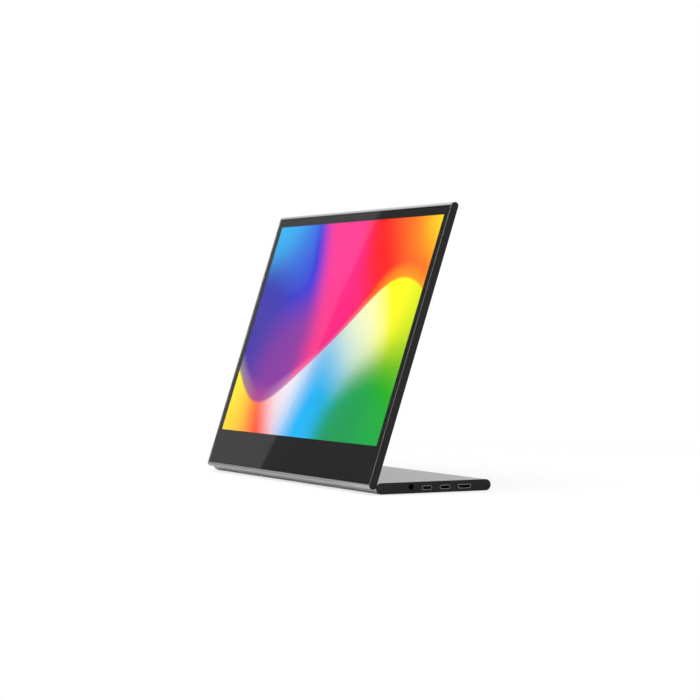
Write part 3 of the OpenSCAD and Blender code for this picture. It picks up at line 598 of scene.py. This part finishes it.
def screwInto(bm, look):
    # the head's face round the recess, then one ring of faces for each step up to the tip
    shank = look["shankRadius"]
    steps = [(look["headRadius"], look["edgeHeight"]), (shank, look["headDepth"]),
             (shank, look["length"] - look["tip"]), (shank - look["tip"], look["length"])]
    made, mouthEdges = crossInto(bm, look)
    radius, height = look["headRadius"] - look["edge"], 0.0
    rim = bmesh.ops.create_circle(bm, cap_ends=False, segments=look["sides"], radius=radius)["verts"]
    loop = [e for e in bm.edges if e.is_wire]
    bmesh.ops.triangle_fill(bm, use_beauty=True, use_dissolve=False, edges=loop + mouthEdges)
    made += rim
    for nextRadius, nextHeight in steps:
        drawn = bmesh.ops.extrude_edge_only(bm, edges=loop)["geom"]
        rim = [v for v in drawn if isinstance(v, bmesh.types.BMVert)]
        loop = [e for e in drawn if isinstance(e, bmesh.types.BMEdge) and e.is_boundary]
        bmesh.ops.translate(bm, verts=rim, vec=(0, 0, nextHeight - height))
        bmesh.ops.scale(bm, verts=rim, vec=(nextRadius / radius, nextRadius / radius, 1))
        made += rim
        radius, height = nextRadius, nextHeight
    bmesh.ops.holes_fill(bm, edges=loop, sides=0)
    return made


def makeCoverScrews(look):
    bm = bmesh.new()
    for x, y in look["places"]:
        for vert in screwInto(bm, look):
            vert.co += Vector((x, y, look["level"]))
    fromHinge(bm)
    bmesh.ops.recalc_face_normals(bm, faces=bm.faces)
    shadeSmooth(bm)
    newPiece("coverScrews", meshFrom(bm, "coverScrews"), slotOf["cover_screws"], bodyOf["cover_screws"],
             ["cover_screws"], "screwSteel")


makeCoverScrews(coverScrew)
print("contacts and screws made")


stageLook = {"floorSize": 30.0, "floorColor": 0.86, "floorPaleness": 0.62, "nearWhite": 1.16,
             "fadeFrom": 0.9, "nearRadius": 0.40, "farRadius": 0.85, "worldLight": 0.58}


def seenRays(tree):
    # the camera's own rays, and those together with the ones by a mirror or through glass
    path = addNode(tree, "ShaderNodeLightPath")
    byCamera = path.outputs["Is Camera Ray"]
    mirroredOrThrough = larger(tree, path.outputs["Is Glossy Ray"], path.outputs["Is Transmission Ray"])
    return byCamera, larger(tree, byCamera, mirroredOrThrough)


def stageObject(name, bm, material):
    mesh = meshFrom(bm, name)
    mesh.materials.append(material)
    made = bpy.data.objects.new(name, mesh)
    bpy.context.collection.objects.link(made)
    return made


def paleFloor(look):
    # paper that takes the shadow near the object, and plain white far away; clear from below
    material, tree, shader = newMaterial("paleFloor")
    tree.nodes.remove(shader)
    byCamera, seen = seenRays(tree)
    reach = addNode(tree, "ShaderNodeVectorMath", {0: objectPoint(tree)},
                    operation="LENGTH").outputs["Value"]
    far = smoothStep(tree, reach, look["nearRadius"], look["farRadius"])
    paper = addNode(tree, "ShaderNodeBsdfDiffuse", {"Color": (*grey(look["floorColor"]), 1)}).outputs[0]
    level = addNode(tree, "ShaderNodeMapRange", {
        "Value": far, "From Min": look["fadeFrom"], "To Min": look["nearWhite"], "To Max": 1.0})
    white = addNode(tree, "ShaderNodeEmission", {"Strength": level.outputs["Result"]}).outputs[0]
    share = larger(tree, times(tree, far, seen), times(tree, byCamera, look["floorPaleness"]))
    mixed = addNode(tree, "ShaderNodeMixShader", {0: share, 1: paper, 2: white}).outputs[0]
    below = addNode(tree, "ShaderNodeNewGeometry").outputs["Backfacing"]
    clear = addNode(tree, "ShaderNodeBsdfTransparent").outputs[0]
    sided = addNode(tree, "ShaderNodeMixShader", {0: below, 1: mixed, 2: clear}).outputs[0]
    feed(tree, sided, tree.nodes["Material Output"].inputs["Surface"])
    return material


def makeFloor(look):
    bm = bmesh.new()
    bmesh.ops.create_grid(bm, x_segments=1, y_segments=1, size=look["floorSize"] / 2)
    stageObject("floor", bm, paleFloor(look))


def makeWorld(look):
    # white where it is seen, and dimmer as a light on the object
    world = bpy.data.worlds.new("paleRoom")
    bpy.context.scene.world = world
    world.use_nodes = True
    tree = world.node_tree
    seen = seenRays(tree)[1]
    background = tree.nodes["Background"]
    background.inputs["Color"].default_value = (1, 1, 1, 1)
    feed(tree, spread(tree, seen, look["worldLight"], 1.0), background.inputs["Strength"])


lamps = {
    "overhead": {"place": (0.0, -0.75, 2.0), "aim": (0, 0, 0.05), "size": (1.8, 1.4), "power": 17.0},
    "sideFill": {"place": (1.5, -0.6, 0.9), "aim": (0.1, 0, 0.08), "size": (0.9, 0.9), "power": 4.0},
}


def makeLamp(name, look):
    data = bpy.data.lights.new(name, "AREA")
    data.shape = "RECTANGLE"
    data.size, data.size_y = look["size"]
    data.energy = look["power"]
    lamp = bpy.data.objects.new(name, data)
    bpy.context.collection.objects.link(lamp)
    lamp.location = look["place"]
    aim = Vector(look["aim"]) - Vector(look["place"])
    lamp.rotation_euler = aim.to_track_quat("-Z", "Y").to_euler()


def mirroredRay(px, py):
    # where the camera's ray through a pixel meets the glass, and its direction from there
    right, up, back = cameraAxes()
    start = cameraPlace(back)
    half = camera["imageSize"] / 2
    ray = (right * (px - half) + up * (half - py) - back * camera["focalPixels"]).normalized()
    hit = start + ray * ((glassFront - start).dot(displayOut) / ray.dot(displayOut))
    return hit, ray - displayOut * 2 * ray.dot(displayOut)


# the pixel whose mirrored ray meets each card squarely
cardPixel = (330, 346)
# what the glass mirrors towards the camera: a dark flag, and a soft box with a slanting edge in front of
# it; their outlines are in pixels
mirrored = {
    "darkFlag": {"distance": 1.34, "level": 0.07,
                 "outline": [(120, 140), (560, 140), (560, 560), (120, 560)]},
    "softBox": {"distance": 1.30, "level": 0.20,
                "outline": [(120, 190), (390.5, 190), (380.8, 210.4), (342, 292), (312.4, 363.5),
                            (260.4, 468.6), (246, 498), (120, 498)]},
}


def mirroredCorners(look):
    hit, direction = mirroredRay(*cardPixel)
    middle = hit + direction * look["distance"]
    corners = []
    for pixel in look["outline"]:
        hit, bounce = mirroredRay(*pixel)
        corners.append(hit + bounce * ((middle - hit).dot(direction) / bounce.dot(direction)))
    return corners


# what the top of the base mirrors: a grey panel behind it, on the side away from the camera
rearPanel = {"direction": (-0.916, 0.40, 0), "distance": 1.5, "halfWidth": 1.1, "bottom": -0.02,
             "top": 0.9, "level": 0.56}
# what the display's lower lip and the base's front edge mirror: a low grey panel to their left, in front
frontPanel = {"direction": (-0.916, -0.40, 0), "distance": 1.2, "halfWidth": 0.5, "bottom": 0.0,
              "top": 0.155, "level": 0.56}


def panelCorners(look):
    away = Vector(look["direction"]).normalized()
    side = away.cross(Vector((0, 0, 1)))
    return [away * look["distance"] + side * look["halfWidth"] * s + Vector((0, 0, look[h]))
            for s, h in ((-1, "bottom"), (1, "bottom"), (1, "top"), (-1, "top"))]


# and a grey sheet on the floor before the display
frontSheet = {"left": -1.5, "right": 0.10, "near": -0.060, "far": -1.3, "height": 0.0015, "level": 0.28}


def sheetCorners(look):
    return [Vector((look[x], look[y], look["height"]))
            for x, y in (("left", "far"), ("right", "far"), ("right", "near"), ("left", "near"))]


def makeCard(name, corners, level):
    # a plain glowing card that only mirrors and glass show
    bm = bmesh.new()
    bm.faces.new([bm.verts.new(corner) for corner in corners])
    material, tree, shader = newMaterial(name)
    tree.nodes.remove(shader)
    glow = addNode(tree, "ShaderNodeEmission", {"Strength": level}).outputs[0]
    feed(tree, glow, tree.nodes["Material Output"].inputs["Surface"])
    card = stageObject(name, bm, material)
    card.visible_camera = False
    card.visible_diffuse = False
    card.visible_shadow = False


makeFloor(stageLook)
makeWorld(stageLook)
for name, look in lamps.items():
    makeLamp(name, look)
for name, look in mirrored.items():
    makeCard(name, mirroredCorners(look), look["level"])
makeCard("rearPanel", panelCorners(rearPanel), rearPanel["level"])
makeCard("frontPanel", panelCorners(frontPanel), frontPanel["level"])
makeCard("frontSheet", sheetCorners(frontSheet), frontSheet["level"])
bpy.context.scene.view_settings.view_transform = "Standard"
print("stage set")
